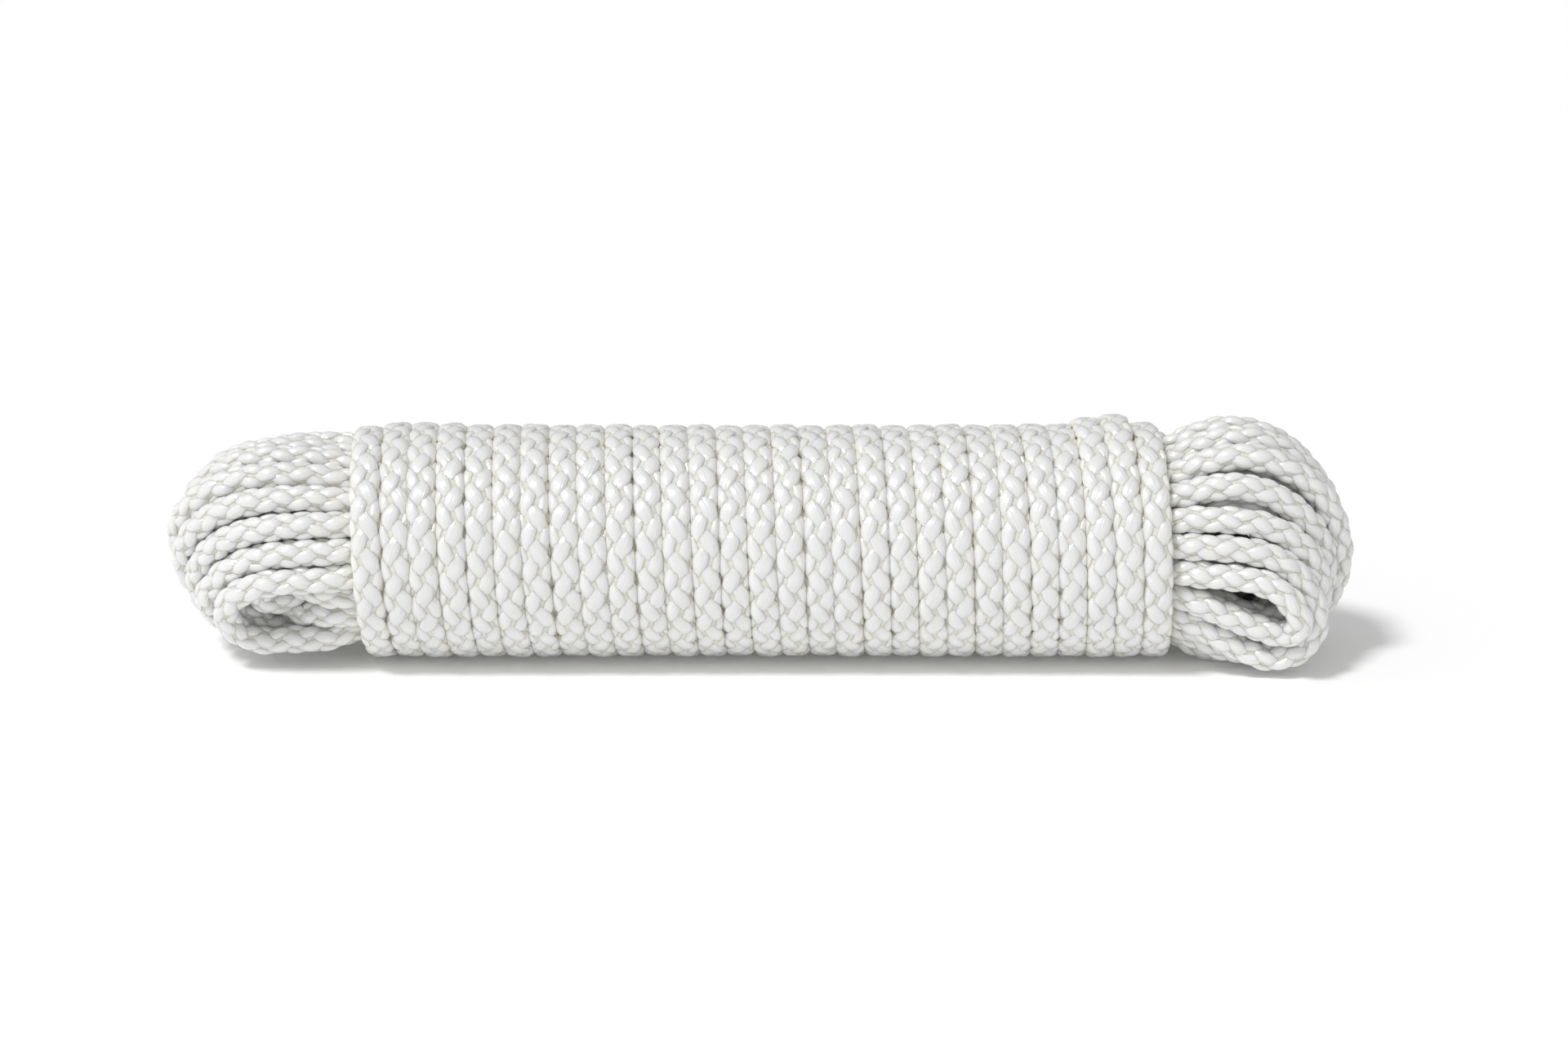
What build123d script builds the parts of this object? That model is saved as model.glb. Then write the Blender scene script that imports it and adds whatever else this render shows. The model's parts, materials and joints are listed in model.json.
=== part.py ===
from build123d import *

import math
import os

# A hank of braided dock line: one rope folded to and fro, with its last turns wrapped
# tightly round the middle. X runs along the hank, -Y is its front and +Z is up.
# The origin is below the middle of its box, on the surface that it rests on.

# Driving dimensions, in millimetres and degrees. Most are counted in rope diameters.
ROPE = 6.35  # rope diameter, a quarter of an inch
ROPE_LENGTH = 15240.0  # 50 ft
ROPE_RADIUS = 0.5 * ROPE

WRAP_TURNS = 29
WRAP_LENGTH = 29.9 * ROPE
WRAP_RADIUS = 3.785 * ROPE  # from the hank's axis to the middle of a wrap turn
FOOT_DEPTH = 0.05 * ROPE  # how far the wrap is pressed flat where it rests

# The rope is folded in three nested rings of turns round the axis. Each turn crosses
# the wrap twice, once above and once below, and makes one loop at each end.
FOLD_RINGS = {"inner": 3, "middle": 6, "outer": 11}
RING_RADII = {"inner": 1.30 * ROPE, "middle": 2.42 * ROPE, "outer": 3.52 * ROPE}
COLLAR = 0.2 * ROPE  # length of the bundle that swells past the wrap at each end

# End loops: how far they swell above and below the bundle, how far they reach past
# the wrap, and how many degrees the stack of loops leans forward.
SWELL = 0.23 * ROPE
LOOPS = {
    "left": {"side": -1, "reach": 6.9 * ROPE, "lean": 30.0},
    "right": {"side": 1, "reach": 6.2 * ROPE, "lean": 11.0},
}

# Stretches that are tucked under the wrap, and the rope's two heat-sealed ends.
LEAD_IN_ANGLE = 14.0  # degrees behind the top of the bundle
FINISHING_ANGLE = 60.0
TUCK_COVER = 0.15 * ROPE  # how deep they lie below the bundle's surface
TUCK_BEND = 2.0 * ROPE
TUCK_TURN = 60.0
LEAD_IN_RUN = 3.0 * ROPE
FINISHING_RUN = 4.5 * ROPE
STARTING_RUN = 14.0 * ROPE
START_RECESS = 2.0 * ROPE
SEAL_LENGTH = 0.4 * ROPE
SEAL_EDGE = 0.12 * ROPE

BUNDLE_RADIUS = WRAP_RADIUS - ROPE_RADIUS
COLLAR_RADIUS = RING_RADII["outer"] + ROPE_RADIUS
TUCK_RADIUS = BUNDLE_RADIUS - TUCK_COVER - ROPE_RADIUS
WRAP_END = WRAP_LENGTH / 2
COLLAR_END = WRAP_END + COLLAR
AXIS_HEIGHT = WRAP_RADIUS + WRAP_LENGTH / WRAP_TURNS / 2 - FOOT_DEPTH


def rod(radius, start_x, end_x):
    """A round bar along X."""
    return Plane((start_x, 0, 0), z_dir=(1, 0, 0)) * extrude(Circle(radius), end_x - start_x)


def tube_along(path):
    """The rope itself, following a path of tangent lines and arcs."""
    tube = sweep(Plane(path @ 0, z_dir=path % 0) * Circle(ROPE_RADIUS), path)
    swept = math.pi * ROPE_RADIUS**2 * path.length
    assert abs(tube.volume / swept - 1) < 0.01, (tube.volume, swept)
    return tube


def s_curve(start, heading, run, shift):
    """Two tangent arcs that move a path sideways by shift over run, and end parallel."""
    radius = (run**2 + shift**2) / (4 * abs(shift))
    turn = math.degrees(math.asin(run / (2 * radius))) * math.copysign(1, shift)
    out = JernArc(start, heading, radius, turn)
    back = JernArc(out @ 1, out % 1, radius, -turn)
    return [out, back], radius


def end_loop(half_width, reach):
    """One loop in its own plane, X outwards and Y up: it swells, turns back and narrows."""
    turn_radius = half_width + SWELL
    run = reach - ROPE_RADIUS - RING_RADII["outer"] - SWELL - COLLAR
    upper, swell_radius = s_curve((0, half_width), (1, 0), run, SWELL)
    turn_back = JernArc(upper[-1] @ 1, (1, 0), turn_radius, -180)
    lower, _ = s_curve((0, -half_width), (1, 0), run, -SWELL)
    print(f"loop radii {swell_radius:.2f} and {turn_radius:.2f} mm")
    return tube_along(Wire(upper + [turn_back] + lower))


def ring_of_loops(ring, end):
    """The loops of one ring at one end of the hank, each in a plane of its own."""
    side, lean = end["side"], math.radians(end["lean"])
    forward = Vector(0, -math.cos(lean), -math.sin(lean))
    upward = Vector(0, -math.sin(lean), math.cos(lean))
    outward = Vector(side, 0, 0)
    loops = []
    for turn in range(FOLD_RINGS[ring]):
        place = math.pi * (turn + 0.5) / FOLD_RINGS[ring]
        half_width = RING_RADII[ring] * math.sin(place)
        middle = forward * (RING_RADII[ring] * math.cos(place)) + outward * COLLAR_END
        plane = Plane(middle, x_dir=outward, z_dir=outward.cross(upward))
        loops += (plane * end_loop(half_width, end["reach"])).solids()
    return Compound(loops)


def wrap_coil():
    """The outer shape of the wrap: a sleeve with one rounded rib for each turn."""
    pitch = WRAP_LENGTH / WRAP_TURNS
    crest = WRAP_RADIUS + pitch / 2
    edges = []
    for turn in range(WRAP_TURNS):
        left = -WRAP_END + turn * pitch
        edges.append(
            ThreePointArc((left, WRAP_RADIUS), (left + pitch / 2, crest), (left + pitch, WRAP_RADIUS))
        )
    right_side = [(WRAP_END, WRAP_RADIUS), (WRAP_END, BUNDLE_RADIUS)]
    left_side = [(-WRAP_END, BUNDLE_RADIUS), (-WRAP_END, WRAP_RADIUS)]
    edges += Polyline(*right_side, *left_side).edges()
    sleeve = revolve(make_face(edges), Axis.X)
    floor = Pos(0, 0, -AXIS_HEIGHT) * Box(
        2 * WRAP_LENGTH, 4 * crest, crest, align=(Align.CENTER, Align.CENTER, Align.MAX)
    )
    return sleeve - floor


def tucked_run(start_x, length, side, angle):
    """Rope lying in the bundle's surface from start_x, then turning out to join the wrap."""
    run = Line((start_x, TUCK_RADIUS), (start_x + side * length, TUCK_RADIUS))
    rise = JernArc(run @ 1, run % 1, TUCK_BEND, side * TUCK_TURN)
    upright = Plane((0, 0, 0), x_dir=(1, 0, 0), z_dir=(0, -1, 0))
    tube = upright * tube_along(Wire([run, rise]))
    return Rot(-angle, 0, 0) * tube


def sealed_end(start_x, side):
    """The melted tip of the rope: a short disc with a rounded edge."""
    tip = rod(ROPE_RADIUS, 0, SEAL_LENGTH)
    tip = fillet(tip.edges().sort_by(Axis.X)[-1], SEAL_EDGE)
    return Pos(start_x, 0, 0) * (Rot(0, 0, 0 if side > 0 else 180) * tip)


def hank():
    """Every stretch of the rope by name, with the hank's axis on the X axis."""
    bundle = rod(BUNDLE_RADIUS, -WRAP_END, WRAP_END)
    collars = [rod(COLLAR_RADIUS, -COLLAR_END, -WRAP_END), rod(COLLAR_RADIUS, WRAP_END, COLLAR_END)]

    tip_x = -COLLAR_END + START_RECESS
    pieces = {
        "starting_end_seal": sealed_end(tip_x + SEAL_LENGTH, -1),
        "starting_tail": rod(ROPE_RADIUS, tip_x + SEAL_LENGTH, tip_x + STARTING_RUN),
    }
    start_bore = rod(ROPE_RADIUS, -COLLAR_END, tip_x + STARTING_RUN)

    lead_in = tucked_run(WRAP_END - ROPE - LEAD_IN_RUN, LEAD_IN_RUN - ROPE, 1, LEAD_IN_ANGLE)
    finishing_start = -WRAP_END + ROPE + FINISHING_RUN
    finishing = tucked_run(finishing_start, FINISHING_RUN - ROPE, -1, FINISHING_ANGLE)
    finishing_tip = sealed_end(finishing_start, 1)
    finishing_seal = Rot(-FINISHING_ANGLE, 0, 0) * Pos(0, 0, TUCK_RADIUS) * finishing_tip

    folded_runs = bundle + collars - start_bore - lead_in - finishing - finishing_seal
    pieces["folded_runs"] = folded_runs
    for end_name, end in LOOPS.items():
        for ring in FOLD_RINGS:
            pieces[f"{end_name}_{ring}_loops"] = ring_of_loops(ring, end)
    pieces["wrap_lead_in"] = lead_in & bundle
    pieces["wrap_turns"] = wrap_coil()
    pieces["finishing_tail"] = finishing & bundle
    pieces["finishing_end_seal"] = finishing_seal
    return pieces


pieces = hank()
box = Compound([solid for piece in pieces.values() for solid in piece.solids()]).bounding_box()
to_origin = Pos(-box.center().X, -box.center().Y, -box.min.Z)

os.makedirs("parts", exist_ok=True)
for name, piece in pieces.items():
    export_step(to_origin * piece, f"parts/{name}.step")
print(f"hank {box.size.X:.1f} x {box.size.Y:.1f} x {box.size.Z:.1f} mm, rope {ROPE_LENGTH / 1000:.2f} m")
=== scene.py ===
import json
import math

import bpy
import numpy as np
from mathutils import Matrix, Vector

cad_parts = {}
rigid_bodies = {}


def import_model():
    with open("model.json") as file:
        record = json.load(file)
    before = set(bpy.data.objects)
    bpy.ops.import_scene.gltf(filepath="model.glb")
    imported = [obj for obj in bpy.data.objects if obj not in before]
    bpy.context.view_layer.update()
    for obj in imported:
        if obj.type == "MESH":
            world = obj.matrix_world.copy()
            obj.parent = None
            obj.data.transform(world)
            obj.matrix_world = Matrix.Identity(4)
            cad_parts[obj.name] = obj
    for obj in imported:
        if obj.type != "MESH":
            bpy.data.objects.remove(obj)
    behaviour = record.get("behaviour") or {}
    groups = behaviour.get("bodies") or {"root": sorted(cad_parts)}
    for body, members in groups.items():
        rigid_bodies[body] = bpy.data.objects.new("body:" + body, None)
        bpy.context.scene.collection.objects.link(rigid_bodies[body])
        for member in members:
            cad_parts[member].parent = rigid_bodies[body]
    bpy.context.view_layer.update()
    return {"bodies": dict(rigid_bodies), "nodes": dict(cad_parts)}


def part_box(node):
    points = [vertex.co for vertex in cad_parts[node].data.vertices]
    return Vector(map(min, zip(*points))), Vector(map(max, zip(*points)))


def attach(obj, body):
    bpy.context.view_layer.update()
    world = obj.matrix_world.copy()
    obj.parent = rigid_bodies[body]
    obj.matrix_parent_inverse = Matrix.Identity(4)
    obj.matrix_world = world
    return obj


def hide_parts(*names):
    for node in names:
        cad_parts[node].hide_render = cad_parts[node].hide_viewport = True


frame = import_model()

# A hank of braided line. Shapes are worked out in rope diameters from the hank's axis,
# x to the right, y away from the camera and z up, and to_row() turns them into metres.

wrap_low, wrap_high = (np.array(corner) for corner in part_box("wrap_turns"))

# The rope and the hank, whose rings and end loops are close to the CAD model's
ROPE = 0.00635
WRAP_TURNS = 29
WRAP_RADIUS = 3.785
WRAP_END = (wrap_high[0] - wrap_low[0]) / 2 / ROPE
WRAP_CREST = (wrap_high[1] - wrap_low[1]) / 2
AXIS = np.array([*(wrap_low + wrap_high)[:2] / 2, wrap_high[2] - WRAP_CREST])
FLOOR = -AXIS[2] / ROPE
FOLD_RINGS = {"inner": 3, "middle": 6, "outer": 11}
RING_RADII = {"inner": 1.3, "middle": 2.4, "outer": 3.5}
SQUEEZE = 0.79  # how much the wrap draws the rings in

# Each end: how far its loops reach past the wrap, how many degrees their stack leans forward,
# how much they swell, how much more those in mid-stack do, and how high the lowest rope stays
LOOPS = {
    "left": {"side": -1, "reach": 6.65, "lean": 30.0, "swell": 0.4, "crown": 0.1, "lift": 0.55},
    "right": {"side": 1, "reach": 5.45, "lean": 11.0, "swell": 0.65, "crown": 0.95, "lift": 0.0},
}

STEP = 0.45  # between the points of an end loop
ROUNDS = 260  # of the solver that settles the loops
CONTACT = 0.98  # how near two stretches of rope lie
UNDER_WRAP = 0.92  # and how near to the wrap's last turns, which press them

# The braid
STRANDS = 8
STRAND_RADIUS = 0.29  # from the rope's middle line to a strand's
WEAVE_DEPTH = 0.08  # how far a strand goes out over others and in under them
STRAND_HALF_THICK, STRAND_HALF_WIDE = 0.145, 0.2
CORE_RADIUS, BARE_CORE_RADIUS = 0.358, 0.46  # under the strands, and where there are none
LAY = 4.6  # length in which a strand goes once round
DETAIL = 9  # samples of the braid in each rope diameter
AROUND = 10  # points round each strand
STRAIGHTER = 0.5  # how much nearer to the rope's own direction a strand runs where it is on top
SHOWN_UNDER_WRAP = 1.4  # how far the strands go on under the wrap, where only the core is left
SQUARENESS = 3.4  # of a wrap turn's section: 2 is round
SEAL_RADIUS = 0.5

rng = np.random.default_rng(7)


def to_row(points):
    """Points in rope diameters from the hank's axis, as metres in the row frame."""
    return AXIS + ROPE * np.asarray(points, float)


def along(points, spacing):
    """The same line with evenly spaced points."""
    lengths = np.linalg.norm(np.diff(points, axis=0), axis=1)
    travelled = np.concatenate([[0.0], np.cumsum(lengths)])
    count = max(2, round(travelled[-1] / spacing) + 1)
    places = np.linspace(0.0, travelled[-1], count)
    return np.stack([np.interp(places, travelled, points[:, axis]) for axis in range(3)], axis=1)


def in_section(radius, angle, lean):
    """A place across the hank: angle is in degrees from the leaning stack's front, towards its top."""
    turned = math.radians(angle - lean)
    return -radius * math.cos(turned), radius * math.sin(turned)


# ---------------------------------------------------------------- end loops


BURIED_SWELL = {"inner": 0.2, "middle": 0.35, "outer": 0.0}  # how much more the hidden rings swell
NARROWEST = 1.1  # half the width of the narrowest loop
FRONT_GRIP, OTHER_GRIP = 0.08, 0.012  # how strongly the loops keep their first shapes
NECK = 2.6  # how far under the wrap a loop's necks begin
HELD = 2.0  # and how far they are held

# In each round of the solver
NEIGHBOURS = 4  # points of one loop that are too near along it to push each other
SAG = 0.0015
STRAIGHTEN = 0.4
OVERSHOOT = 1.4

# The loops at the front of each end: how far they reach, swell, come forward and droop, and for some
# how far their lower half is tucked back and how strongly they keep their first shape
FRONT_LOOPS = {
    ("left", "outer", 0): {"reach": 4.2, "swell": 0.6, "forward": -1.9, "drop": 1.5},
    ("left", "outer", 1): {"reach": 4.5, "swell": 0.16, "forward": 0.05, "drop": 0.4, "grip": 0.2},
    ("left", "outer", 2): {"reach": 5.15, "swell": 0.1, "forward": 0.0, "drop": 0.7, "tuck": 0.9},
    ("left", "outer", 3): {"reach": 5.75, "swell": 0.15, "forward": 0.0, "drop": 0.5, "tuck": 0.9},
    ("left", "outer", 4): {
        "reach": 6.2, "swell": 0.2, "forward": 0.0, "drop": 0.35, "tuck": 0.6, "grip": 0.05,
    },
    ("right", "middle", 0): {"reach": 4.1, "swell": 0.45, "forward": 0.4, "drop": 1.2},
    ("right", "outer", 0): {"reach": 4.4, "swell": 0.4, "forward": 0.15, "drop": 1.25},
    ("right", "outer", 1): {"reach": 4.9, "swell": 0.75, "forward": 0.0, "drop": 1.4},
    ("right", "outer", 2): {"reach": 5.1, "swell": 0.5, "forward": 0.0, "drop": 0.82},
    ("right", "outer", 3): {"reach": 5.35, "swell": 0.7, "forward": 0.0, "drop": 0.4},
}


def first_shape(end_name, ring, turn):
    """One end loop before it is relaxed, from its upper neck to its lower one, and what holds its points."""
    end = LOOPS[end_name]
    place = math.pi * (turn + 0.5) / FOLD_RINGS[ring]
    radius = RING_RADII[ring]
    front, half = radius * math.cos(place), radius * math.sin(place)
    crown = end["crown"] * math.sin(place) ** 2
    width = half + end["swell"] + crown + BURIED_SWELL[ring] + rng.uniform(-0.08, 0.1)
    outer_width = RING_RADII["outer"] + end["swell"]
    centre = end["reach"] - outer_width + rng.uniform(-0.3, 0.15)
    shift, drop, tuck = rng.uniform(-0.05, 0.05), 0.0, 0.0
    tweak = FRONT_LOOPS.get((end_name, ring, turn))
    if tweak:
        width = half + tweak["swell"]
        centre = tweak["reach"] - width
        shift, drop, tuck = tweak["forward"], tweak["drop"], tweak.get("tuck", 0.0)
    width = max(width, NARROWEST)
    upper = [
        (-NECK, SQUEEZE * front, SQUEEZE * half),
        (-1.5, SQUEEZE * front, SQUEEZE * half),
        (0.3, front, half),
        (0.3 + 0.6 * (centre - 0.3), front + 0.7 * shift, half + 0.7 * (width - half) - 0.4 * drop),
    ]
    turn_back = []
    for a in np.radians(np.linspace(90, -90, 13)):
        under = 0.5 * (1 - math.sin(a)) * tuck
        height = width * math.sin(a) - drop * (0.6 + 0.4 * math.cos(a)) - 0.5 * under
        turn_back.append((centre + width * math.cos(a), front + shift - under, height))
    lower = [(x, s, -t) for x, s, t in upper]
    x, s, t = lower[3]
    lower[3] = (x, s - 0.8 * tuck, t - 0.8 * drop - 0.4 * tuck)
    lower = lower[::-1]
    planned = along(np.array(upper + turn_back + lower), STEP)
    held = planned[:, 0] < -HELD
    lean = math.radians(end["lean"])
    outward, forward, upward = planned.T
    loop = np.stack(
        [
            end["side"] * (WRAP_END + outward),
            -math.cos(lean) * forward - math.sin(lean) * upward,
            -math.sin(lean) * forward + math.cos(lean) * upward,
        ],
        axis=1,
    )
    grip = np.full(len(loop), tweak.get("grip", FRONT_GRIP) if tweak else OTHER_GRIP)
    return loop, held, grip


def push_apart(points, free, apart):
    """Moves stretches of rope that overlap off each other."""
    squares = (points**2).sum(1)
    gaps = squares[:, None] + squares[None, :] - 2 * points @ points.T
    one, other = np.nonzero((gaps < CONTACT**2) & apart)
    away = points[one] - points[other]
    distance = np.linalg.norm(away, axis=1) + 1e-9
    push = away * (0.5 * (CONTACT - distance) / distance)[:, None]
    move, hits = np.zeros_like(points), np.zeros(len(points))
    for index, part in ((one, push), (other, -push)):
        np.add.at(move, index, part)
        np.add.at(hits, index, 1.0)
    points[free] += (OVERSHOOT * move / np.maximum(hits, 1.0)[:, None])[free]


def keep_off(posts, points, free):
    """Moves the loops off the wrap's turns."""
    away = points[:, None] - posts[None]
    distance = np.linalg.norm(away, axis=2)
    nearest = distance.argmin(1)
    away, distance = away[np.arange(len(points)), nearest], distance.min(1)
    close = free & (distance < UNDER_WRAP)
    points[close] += away[close] * ((UNDER_WRAP - distance[close]) / distance[close])[:, None]


def keep_spacing(points, first, free, spacing):
    """Moves each linked pair of points to its own spacing again."""
    span = points[first + 1] - points[first]
    length = np.linalg.norm(span, axis=1) + 1e-9
    weight = free[first].astype(float) + free[first + 1]
    fix = span * ((length - spacing) / length / np.maximum(weight, 1.0))[:, None]
    points[first] += fix * free[first][:, None]
    points[first + 1] -= fix * free[first + 1][:, None]


def relax(loops, held, grips, posts, lowest):
    """Lets the loops push each other, the wrap and the floor apart, as limp rope of a fixed length does."""
    points = np.concatenate(loops)
    goal = points.copy()
    owner = np.concatenate([np.full(len(loop), index) for index, loop in enumerate(loops)])
    order = np.concatenate([np.arange(len(loop)) for loop in loops])
    free = ~np.concatenate(held)
    grip = np.concatenate(grips)[:, None]
    link = np.flatnonzero(owner[1:] == owner[:-1])
    inner = np.flatnonzero((owner[2:] == owner[:-2]) & free[1:-1]) + 1
    apart = (owner[:, None] != owner[None, :]) | (np.abs(order[:, None] - order[None, :]) > NEIGHBOURS)
    apart = np.triu(apart, 1)
    for _ in range(ROUNDS):
        points[free] += (grip * (goal - points))[free]
        points[free, 2] -= SAG
        bend = 0.5 * (points[inner - 1] + points[inner + 1]) - points[inner]
        points[inner] += STRAIGHTEN * bend
        push_apart(points, free, apart)
        keep_off(posts, points, free)
        points[:, 2] = np.where(free, np.maximum(points[:, 2], lowest), points[:, 2])
        lengths = np.linalg.norm(points[link + 1] - points[link], axis=1)
        spacing = (np.bincount(owner[link], lengths) / np.bincount(owner[link]))[owner[link]]
        for _ in range(3):
            for part in (slice(0, None, 2), slice(1, None, 2)):
                keep_spacing(points, link[part], free, spacing[part])
    return np.split(points, np.flatnonzero(np.diff(owner)) + 1)


# ---------------------------------------------------------------- the wrap


RIGHT_TURN = 14.23  # where the rightmost turn passes below the hank
PITCH = 1.0013
WRAP_POINTS = 16  # in each turn
FIRST_ANGLE, LAST_ANGLE = 310.0, -360.0 * (WRAP_TURNS - 1) - 20.0

# Where tucked stretches lift the turns above them: x, spread, degrees from the top, and height
HUMPS = ((12.4, 1.1, -14, 0.42), (-13.2, 1.6, -35, 0.12))

# The stretches that join the wrap's first and last turns: x, radius, and angle above the front
LEAD_IN = (
    (10.0, 2.85, 104),
    (11.5, 3.0, 104),
    (12.7, 3.15, 105),
    (13.6, 3.35, 109),
    (14.25, 3.6, 117),
    (14.55, 3.75, 128),
)
FINISH = (
    (-14.35, 3.6, 125),
    (-14.1, 3.35, 138),
    (-13.3, 3.1, 148),
    (-12.3, 2.95, 152),
    (-11.2, 2.9, 153),
    (-9.45, 2.9, 153),
)


def hump(x, centre, spread, turned, place):
    """How much a tucked stretch lifts the turns above it, from 0 to 1."""
    return math.exp(-(((x - centre) / spread) ** 2)) * max(0.0, math.cos(turned - place)) ** 6


def wrap_place(angle):
    """Where the wrap's middle line is at an angle in degrees from its top, towards its front."""
    x = RIGHT_TURN + (angle - 180.0) / 360.0 * PITCH
    turned = math.radians(angle)
    radius = WRAP_RADIUS - 0.04 * math.cos(x / 9.2) ** 2 + 0.02 * math.sin(2.1 * x + 0.7)
    for centre, spread, place, height in HUMPS:
        radius += height * hump(x, centre, spread, turned, math.radians(place))
    x += 0.02 * math.sin(3.3 * x + math.sin(turned)) + 0.012 * math.sin(7.9 * x)
    return x, -radius * math.sin(turned), radius * math.cos(turned)


def wrap_line():
    """The wrap's turns from right to left, as control points a little outside the line that they make."""
    outside = 1.0 / math.cos(math.pi / WRAP_POINTS)
    angles = np.arange(FIRST_ANGLE, LAST_ANGLE, -360.0 / WRAP_POINTS)
    places = np.array([wrap_place(angle) for angle in angles])
    places[:, 1:] *= outside
    return places


def relaxed_ends():
    """Every end loop by end, ring and turn."""
    shapes = {}
    wrap = along(wrap_line(), 0.25)
    for end_name, end in LOOPS.items():
        names = [(end_name, ring, turn) for ring, count in FOLD_RINGS.items() for turn in range(count)]
        starts = [first_shape(*name) for name in names]
        posts = wrap[end["side"] * wrap[:, 0] > WRAP_END - 2.2]
        loops = relax(*zip(*starts), posts, FLOOR + 0.5 + end["lift"])
        shapes.update(zip(names, loops))
    return shapes


def run_inside(start, stop):
    """Points of a straight run hidden in the wrap. start and stop are (x, radius, angle, lean)."""
    points = []
    for share in (0.1, 0.3, 0.5, 0.7, 0.9):
        x, radius, angle, lean = (a + share * (b - a) for a, b in zip(start, stop))
        points.append((x, *in_section(radius, angle, lean)))
    return points


def join_place(x, radius, angle):
    """A point of a stretch that joins the wrap, from its row in LEAD_IN or FINISH."""
    return (x, *in_section(radius, angle, 0.0))


def hank_route():
    """The rope's whole route as control points, from its starting end to its finishing end."""
    shapes = relaxed_ends()
    turns = []
    for ring, count in FOLD_RINGS.items():
        turns += [(ring, turn) for turn in (range(count)[::-1] if ring == "middle" else range(count))]
    inside = WRAP_END - NECK
    left_lean, right_lean = LOOPS["left"]["lean"], LOOPS["right"]["lean"]

    route = [(-WRAP_END + 2.2, 0.0, 0.0), (-WRAP_END + 6.0, 0.0, 0.0)]
    before = (-WRAP_END + 8.0, 0.0, 90.0, left_lean)
    for ring, turn in turns:
        radius = SQUEEZE * RING_RADII[ring]
        angle = 180.0 * (turn + 0.5) / FOLD_RINGS[ring]
        route += run_inside(before, (inside, radius, angle, right_lean))
        route += list(shapes["right", ring, turn])
        route += run_inside((inside, radius, -angle, right_lean), (-inside, radius, -angle, left_lean))
        route += list(shapes["left", ring, turn][::-1])
        before = (-inside, radius, angle, left_lean)
    route += run_inside(before, (9.0, 2.8, 104.0, 0.0))
    route += [join_place(*place) for place in LEAD_IN]
    route += list(wrap_line())
    route += [join_place(*place) for place in FINISH]
    return np.array(route)


def nurbs_line(points, name):
    """The smooth line that a NURBS route makes through metres, as Blender itself reads it."""
    curve = bpy.data.curves.new(name, "CURVE")
    curve.dimensions = "3D"
    spline = curve.splines.new("NURBS")
    spline.points.add(len(points) - 1)
    spline.points.foreach_set("co", np.hstack([points, np.ones((len(points), 1))]).ravel())
    spline.order_u = 3
    spline.use_endpoint_u = True
    spline.resolution_u = 10
    holder = bpy.data.objects.new(name, curve)
    mesh = bpy.data.meshes.new_from_object(holder)
    line = np.empty(len(mesh.vertices) * 3)
    mesh.vertices.foreach_get("co", line)
    bpy.data.meshes.remove(mesh)
    bpy.data.objects.remove(holder)
    bpy.data.curves.remove(curve)
    return line.reshape(-1, 3)


# ---------------------------------------------------------------- camera, light and floor


def look_from(distance, elevation, target, focal):
    """The camera, in front of the target and looking down at it."""
    camera = bpy.data.objects.new("camera", bpy.data.cameras.new("camera"))
    camera.data.lens = focal
    camera.data.sensor_width = 36.0
    height = math.radians(elevation)
    camera.location = target + distance * np.array([0.0, -math.cos(height), math.sin(height)])
    camera.rotation_euler = (math.radians(90.0 - elevation), 0.0, 0.0)
    camera.data.clip_start = 0.01
    bpy.context.scene.collection.objects.link(camera)
    bpy.context.scene.camera = camera


look_from(134 * ROPE, 17.0, AXIS + ROPE * np.array([0.71, 0.0, 0.68]), 84.4)


def sun(name, elevation, azimuth, strength, angle):
    """A broad far light. Its azimuth is that of the place that it shines from."""
    lamp = bpy.data.lights.new(name, "SUN")
    lamp.energy = strength
    lamp.angle = math.radians(angle)
    holder = bpy.data.objects.new(name, lamp)
    holder.rotation_euler = (0.0, math.radians(90.0 - elevation), math.radians(azimuth))
    bpy.context.scene.collection.objects.link(holder)


# ---------------------------------------------------------------- the rope


def travelling_frames(line):
    """Two directions across the line at each point, carried along it without twist."""
    tangent = np.gradient(line, axis=0)
    tangent /= np.linalg.norm(tangent, axis=1)[:, None]
    across = np.empty_like(line)
    start = np.array([0.0, 0.0, 1.0])
    across[0] = start - tangent[0] * (start @ tangent[0])
    across[0] /= np.linalg.norm(across[0])
    for i in range(1, len(line)):
        step = line[i] - line[i - 1]
        square = step @ step
        carried = across[i - 1] - (2 / square) * (step @ across[i - 1]) * step
        leant = tangent[i - 1] - (2 / square) * (step @ tangent[i - 1]) * step
        turn = tangent[i] - leant
        across[i] = carried - (2 / max(turn @ turn, 1e-18)) * (turn @ carried) * turn
    beside = np.cross(tangent, across)
    return across, beside


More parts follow.
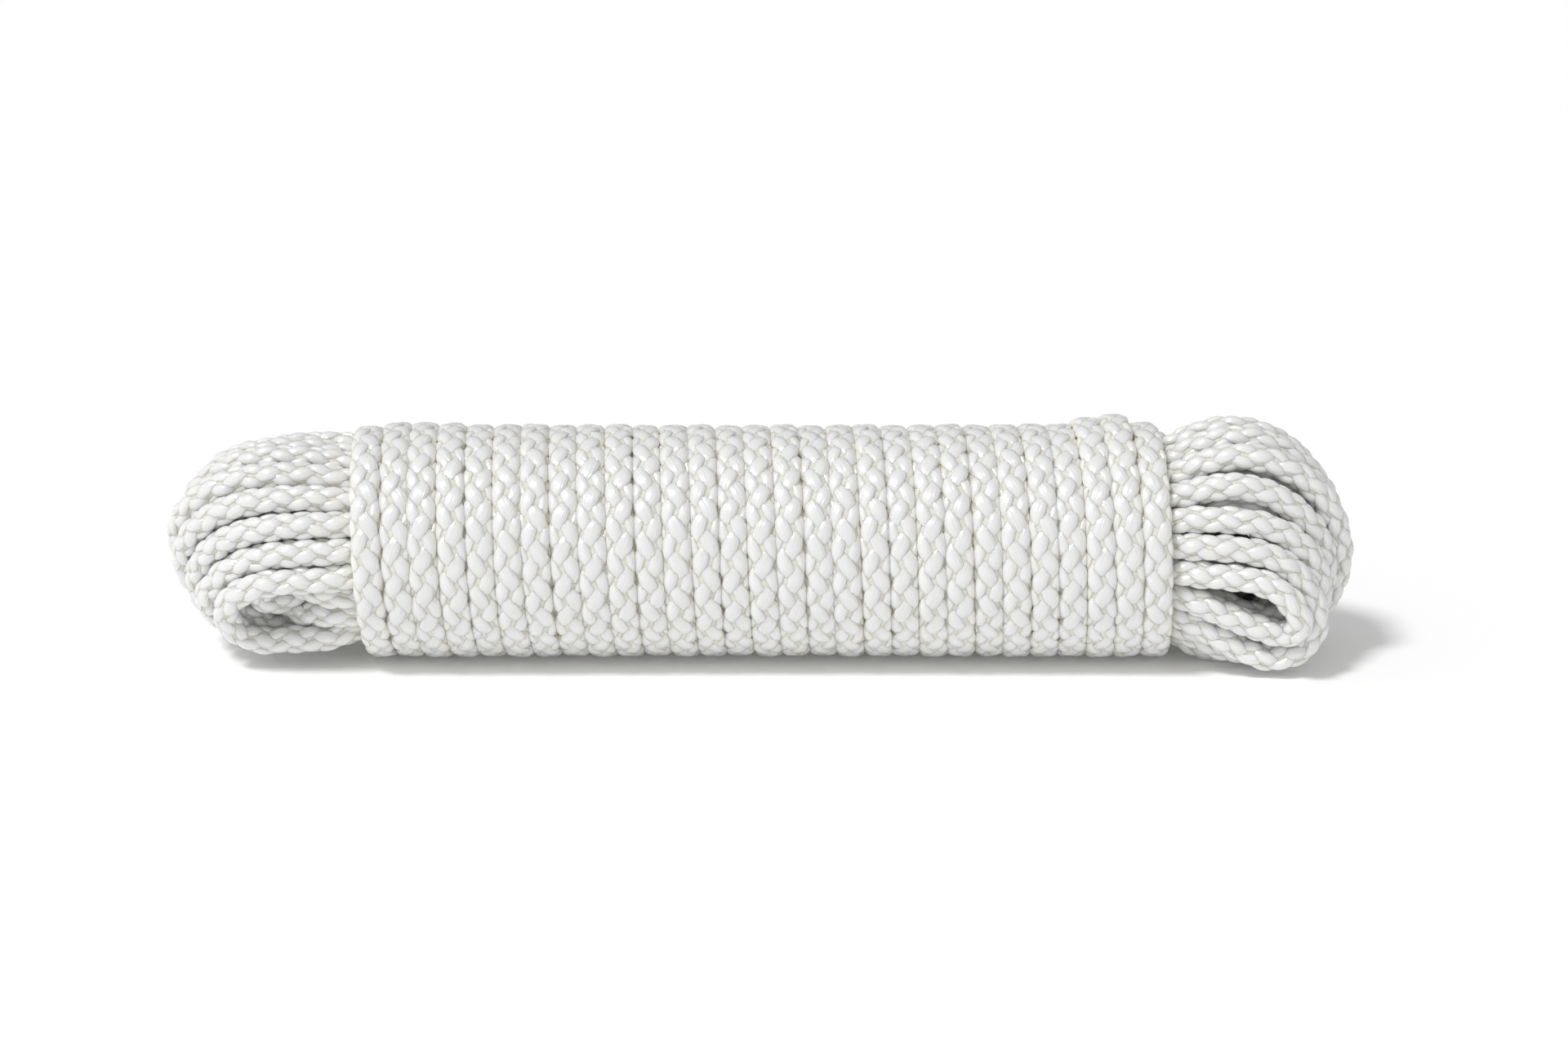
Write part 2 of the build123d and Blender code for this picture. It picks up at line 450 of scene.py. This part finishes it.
def tube_mesh(name, rings, attributes=None):
    """Capped tubes through rings of points, as one object. rings has one array for each tube."""
    count = rings[0].shape[1]
    points = np.concatenate([group.reshape(-1, 3) for group in rings])
    quads, caps, base = [], [], 0
    corner = np.arange(count)
    for group in rings:
        rows = np.arange(len(group) - 1)[:, None] * count + base
        here, beyond = rows + corner, rows + (corner + 1) % count
        quads.append(np.stack([here, beyond, beyond + count, here + count], axis=2).reshape(-1, 4))
        caps.append(base + corner[::-1])
        caps.append(base + (len(group) - 1) * count + corner)
        base += len(group) * count
    quads = np.concatenate(quads)
    loops = np.concatenate([quads.ravel(), np.concatenate(caps)])
    sizes = np.concatenate([np.full(len(quads), 4), np.full(len(caps), count)])
    starts = np.concatenate([[0], np.cumsum(sizes)[:-1]])
    mesh = bpy.data.meshes.new(name)
    mesh.vertices.add(len(points))
    mesh.vertices.foreach_set("co", points.ravel())
    mesh.loops.add(len(loops))
    mesh.loops.foreach_set("vertex_index", loops.astype(np.int32))
    mesh.polygons.add(len(sizes))
    mesh.polygons.foreach_set("loop_start", starts.astype(np.int32))
    mesh.update(calc_edges=True)
    mesh.polygons.foreach_set("use_smooth", np.ones(len(sizes), bool))
    for key, values in (attributes or {}).items():
        layer = mesh.attributes.new(key, "FLOAT_VECTOR", "POINT")
        layer.data.foreach_set("vector", np.concatenate([v.reshape(-1, 3) for v in values]).ravel())
    mesh.validate()
    obj = bpy.data.objects.new(name, mesh)
    bpy.context.scene.collection.objects.link(obj)
    return obj


class Rope:
    """The rope's line with everything that the braid is laid on."""

    def __init__(self, route):
        line = nurbs_line(to_row(route), "dock_line_route")
        self.line = along(line, ROPE / DETAIL)
        self.across, self.beside = travelling_frames(self.line)
        x = (self.line[:, 0] - AXIS[0]) / ROPE
        wrapped = math.radians(FIRST_ANGLE - LAST_ANGLE) * WRAP_RADIUS
        self.in_wrap = np.arange(len(self.line)) > len(self.line) - int(wrapped * DETAIL)
        self.shown = self.in_wrap | (np.abs(x) > WRAP_END - SHOWN_UNDER_WRAP)
        self.turned = 2 * math.pi / LAY / DETAIL * np.arange(1, len(self.line) + 1)

    def stretches(self, mask):
        """The unbroken parts of a mask along the line, without the shortest ones."""
        edges = np.flatnonzero(np.diff(np.concatenate([[False], mask, [False]]).astype(int)))
        return [slice(a, b) for a, b in zip(edges[::2], edges[1::2]) if b - a > 8]

    def strand(self, number, mask, name):
        """One strand of the braid. Even ones turn one way and odd ones the other, over and under."""
        way = 1 if number % 2 == 0 else -1
        angle = way * self.turned - STRAIGHTER * np.sin(4 * self.turned) / 4 + (number // 2) * math.pi / 2
        lift = way * np.cos(4 * self.turned)
        radius = ROPE * (STRAND_RADIUS + WEAVE_DEPTH * lift)
        out = np.cos(angle)[:, None] * self.across + np.sin(angle)[:, None] * self.beside
        middle = self.line + radius[:, None] * out
        heading = np.gradient(middle, axis=0)
        heading /= np.linalg.norm(heading, axis=1)[:, None]
        side = np.cross(heading, out)
        side /= np.linalg.norm(side, axis=1)[:, None]
        up = np.cross(side, heading)
        thick = ROPE * (STRAND_HALF_THICK + 0.015 * lift)
        wide = ROPE * STRAND_HALF_WIDE * (1 + 0.12 * lift)[:, None]
        around = np.arange(AROUND) / AROUND * 2 * math.pi + math.pi
        ring = (
            middle[:, None]
            + (thick[:, None] * np.cos(around))[:, :, None] * up[:, None]
            + (wide * np.sin(around))[:, :, None] * side[:, None]
        )
        places = np.arange(len(self.line)) / DETAIL
        weave = np.zeros(ring.shape)
        weave[:, :, 0] = places[:, None] + 17.3 * number
        weave[:, :, 1] = np.arange(AROUND) / AROUND
        # weave holds the place along the strand, the place round it, and the depth from the rope's middle
        # line; the depth, made deeper between the wrap's turns, drives the painted light in the crevices.
        offset = ring - self.line[:, None]
        distance = np.linalg.norm(offset, axis=2)
        between_turns = self.in_wrap[:, None] * (offset[:, :, 0] / distance) ** 4
        weave[:, :, 2] = distance / ROPE * (1 - 0.4 * between_turns)
        ring = self.pressed(ring)
        parts = self.stretches(mask)
        return tube_mesh(name, [ring[p] for p in parts], {"weave": [weave[p] for p in parts]})

    def pressed(self, ring, keep=slice(None)):
        """Flattens the strands' crowns. In the wrap the turns also press each other square."""
        line, in_wrap = self.line[keep][:, None], self.in_wrap[keep][:, None]
        offset = ring - line
        distance = np.linalg.norm(offset, axis=2) / ROPE + 1e-9
        crown = np.where(in_wrap, 0.40, 0.44)
        above = np.maximum(distance - crown, 0.0)
        full = (distance - np.where(in_wrap, 0.6, 0.4) * above) / distance
        full *= np.where(in_wrap, 1.08, 1.06)
        beside = np.abs(offset[:, :, 0]) / distance / ROPE
        squared = (beside**SQUARENESS + (1 - beside**2) ** (SQUARENESS / 2)) ** (-1 / SQUARENESS)
        full *= np.where(in_wrap, squared, 1.0)
        offset[:, :, 0] *= np.where(in_wrap, 1.18, 1.0)
        return line + offset * full[:, :, None]

    def core(self, name):
        """The tube inside the braid along the whole rope, fuller where no strands are laid on it."""
        radius = np.where(self.shown, CORE_RADIUS, BARE_CORE_RADIUS) * ROPE
        around = np.arange(12) / 12 * 2 * math.pi
        keep = np.unique(np.concatenate([np.arange(0, len(self.line), 2), [len(self.line) - 1]]))
        ring = (
            self.line[keep][:, None]
            + (radius[keep][:, None] * np.cos(around))[:, :, None] * self.across[keep][:, None]
            + (radius[keep][:, None] * np.sin(around))[:, :, None] * self.beside[keep][:, None]
        )
        return tube_mesh(name, [self.pressed(ring, keep)]), self.line[keep]


def sealed_end(name, at, heading):
    """The melted tip of the rope: a short rounded plug with a slightly uneven face."""
    heading = heading / np.linalg.norm(heading)
    side = np.cross(heading, (0.0, 0.0, 1.0))
    side /= np.linalg.norm(side)
    up = np.cross(side, heading)
    around = np.arange(24) / 24 * 2 * math.pi
    rings = []
    for turned in np.radians(np.linspace(-75, 86, 12)):
        radius = SEAL_RADIUS * math.cos(turned) ** 0.35 * (1 + 0.03 * np.sin(3 * around + 4 * turned))
        depth = 0.2 + 0.2 * math.sin(turned) + 0.012 * np.cos(2 * around + 1.0)
        across = np.cos(around)[:, None] * side + np.sin(around)[:, None] * up
        rings.append(at + ROPE * (radius[:, None] * across + depth[:, None] * heading))
    return tube_mesh(name, [np.array(rings)])


def node(tree, kind, **settings):
    """A new node, with settings for its sockets or, where it has none by that name, for itself."""
    made = tree.nodes.new(kind)
    for key, value in settings.items():
        if key in made.inputs:
            made.inputs[key].default_value = value
        else:
            setattr(made, key, value)
    return made


def braid_material():
    """Glossy white nylon with fine fibres along each strand, and painted light: a lighter cream where it
    lies deep or between turns, for light that the nylon lets through into its crevices.
    """
    material = bpy.data.materials.new("nylon_braid")
    material.use_nodes = True
    tree = material.node_tree
    shader = tree.nodes["Principled BSDF"]
    weave = node(tree, "ShaderNodeAttribute", attribute_name="weave")
    parts = node(tree, "ShaderNodeSeparateXYZ")
    tree.links.new(weave.outputs["Vector"], parts.inputs[0])

    depth = node(tree, "ShaderNodeMapRange")
    depth.inputs["From Min"].default_value = 0.26
    depth.inputs["From Max"].default_value = 0.46
    tree.links.new(parts.outputs["Z"], depth.inputs["Value"])
    # Painted light: the deep end of the ramp is a lighter cream than the crest, so the crevices and the gaps
    # between turns look lit from within.
    tint = node(tree, "ShaderNodeValToRGB")
    tint.color_ramp.elements[0].color = (0.97, 0.94, 0.78, 1)
    tint.color_ramp.elements[1].color = (0.79, 0.79, 0.78, 1)
    tree.links.new(depth.outputs["Result"], tint.inputs["Fac"])
    tree.links.new(tint.outputs["Color"], shader.inputs["Base Color"])

    stretch = node(tree, "ShaderNodeCombineXYZ")
    slow = node(tree, "ShaderNodeMath", operation="MULTIPLY")
    slow.inputs[1].default_value = 1.2  # fibre noise along a strand
    fast = node(tree, "ShaderNodeMath", operation="MULTIPLY")
    fast.inputs[1].default_value = 18.0  # and across it
    tree.links.new(parts.outputs["X"], slow.inputs[0])
    tree.links.new(parts.outputs["Y"], fast.inputs[0])
    tree.links.new(slow.outputs[0], stretch.inputs["X"])
    tree.links.new(fast.outputs[0], stretch.inputs["Y"])
    fibres = node(tree, "ShaderNodeTexNoise", Scale=1.0, Detail=2.0)
    tree.links.new(stretch.outputs[0], fibres.inputs["Vector"])
    bump = node(tree, "ShaderNodeBump", Strength=0.9, Distance=0.00022)
    tree.links.new(fibres.outputs["Fac"], bump.inputs["Height"])
    tree.links.new(bump.outputs["Normal"], shader.inputs["Normal"])
    shader.inputs["Roughness"].default_value = 0.2
    shader.inputs["IOR"].default_value = 2.05
    shader.inputs["Subsurface Weight"].default_value = 0.9
    shader.inputs["Subsurface Radius"].default_value = (1.0, 0.97, 0.88)
    shader.inputs["Subsurface Scale"].default_value = 0.0018
    return material


def uneven_material(name, dark, light, roughness):
    """Nylon that varies between two colours, with a fine ripple."""
    material = bpy.data.materials.new(name)
    material.use_nodes = True
    tree = material.node_tree
    shader = tree.nodes["Principled BSDF"]
    ripple = node(tree, "ShaderNodeTexNoise", Scale=900.0)
    tint = node(tree, "ShaderNodeValToRGB")
    tint.color_ramp.elements[0].color = (*dark, 1)
    tint.color_ramp.elements[1].color = (*light, 1)
    tree.links.new(ripple.outputs["Fac"], tint.inputs["Fac"])
    tree.links.new(tint.outputs["Color"], shader.inputs["Base Color"])
    bump = node(tree, "ShaderNodeBump", Distance=0.0002)
    tree.links.new(ripple.outputs["Fac"], bump.inputs["Height"])
    tree.links.new(bump.outputs["Normal"], shader.inputs["Normal"])
    shader.inputs["Roughness"].default_value = roughness
    return material


rope = Rope(hank_route())
core, core_path = rope.core("dock_line_core")
nylon = braid_material()
strands = []
for number in range(STRANDS):
    strands.append(rope.strand(number, rope.shown & ~rope.in_wrap, f"loops_strand_{number + 1}"))
    strands.append(rope.strand(number, rope.in_wrap, f"wrap_strand_{number + 1}"))
for piece in strands:
    piece.data.materials.append(nylon)
cream = uneven_material("nylon_core", (0.86, 0.84, 0.72), (0.93, 0.92, 0.86), 0.5)
core.data.materials.append(cream)

seals = [
    sealed_end("starting_seal", rope.line[0], rope.line[0] - rope.line[3]),
    sealed_end("finishing_seal", rope.line[-1], rope.line[-1] - rope.line[-4]),
]
melted = uneven_material("melted_nylon", (0.62, 0.56, 0.38), (0.8, 0.77, 0.62), 0.25)
for piece in seals:
    piece.data.materials.append(melted)

BODY = next(iter(frame["bodies"]))
for piece in (core, *strands, *seals):
    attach(piece, BODY)
SEAL_NODES = ("starting_end_seal", "finishing_end_seal")
for piece, replaced in zip(seals, SEAL_NODES):
    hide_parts(replaced)
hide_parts(*(name for name in frame["nodes"] if name not in SEAL_NODES))


# ---------------------------------------------------------------- studio


def plain_material(name, colour, roughness, glow):
    """One colour with a faint glow, for the floor."""
    material = bpy.data.materials.new(name)
    material.use_nodes = True
    shader = material.node_tree.nodes["Principled BSDF"]
    shader.inputs["Base Color"].default_value = (*colour, 1)
    shader.inputs["Roughness"].default_value = roughness
    shader.inputs["Emission Color"].default_value = (1, 1, 1, 1)
    shader.inputs["Emission Strength"].default_value = glow
    return material


bpy.ops.mesh.primitive_plane_add(size=12.0, location=(0, 0, 0))
floor = bpy.context.object
floor.name = "studio_floor"
floor.data.materials.append(plain_material("studio_white", (0.97, 0.97, 0.97), 0.8, glow=0.05))


def studio_world(bright, dim, bright_side):
    """A soft surround whose brightness goes from dim to bright towards bright_side."""
    world = bpy.data.worlds.new("studio")
    world.use_nodes = True
    tree = world.node_tree
    place = node(tree, "ShaderNodeTexCoord")
    side = node(tree, "ShaderNodeVectorMath", operation="DOT_PRODUCT")
    side.inputs[1].default_value = bright_side
    level = node(tree, "ShaderNodeMapRange")
    level.inputs["From Min"].default_value = -1.0
    level.inputs["From Max"].default_value = 1.0
    level.inputs["To Min"].default_value = dim
    level.inputs["To Max"].default_value = bright
    tree.links.new(place.outputs["Generated"], side.inputs[0])
    tree.links.new(side.outputs["Value"], level.inputs["Value"])
    tree.links.new(level.outputs["Result"], tree.nodes["Background"].inputs["Strength"])
    tree.nodes["Background"].inputs["Color"].default_value = (1, 1, 1, 1)
    bpy.context.scene.world = world


studio_world(bright=0.78, dim=0.28, bright_side=(-0.8, -0.6, 0.0))
sun("key", elevation=57.0, azimuth=-136.0, strength=1.8, angle=12.0)
bpy.context.scene.view_settings.view_transform = "Standard"
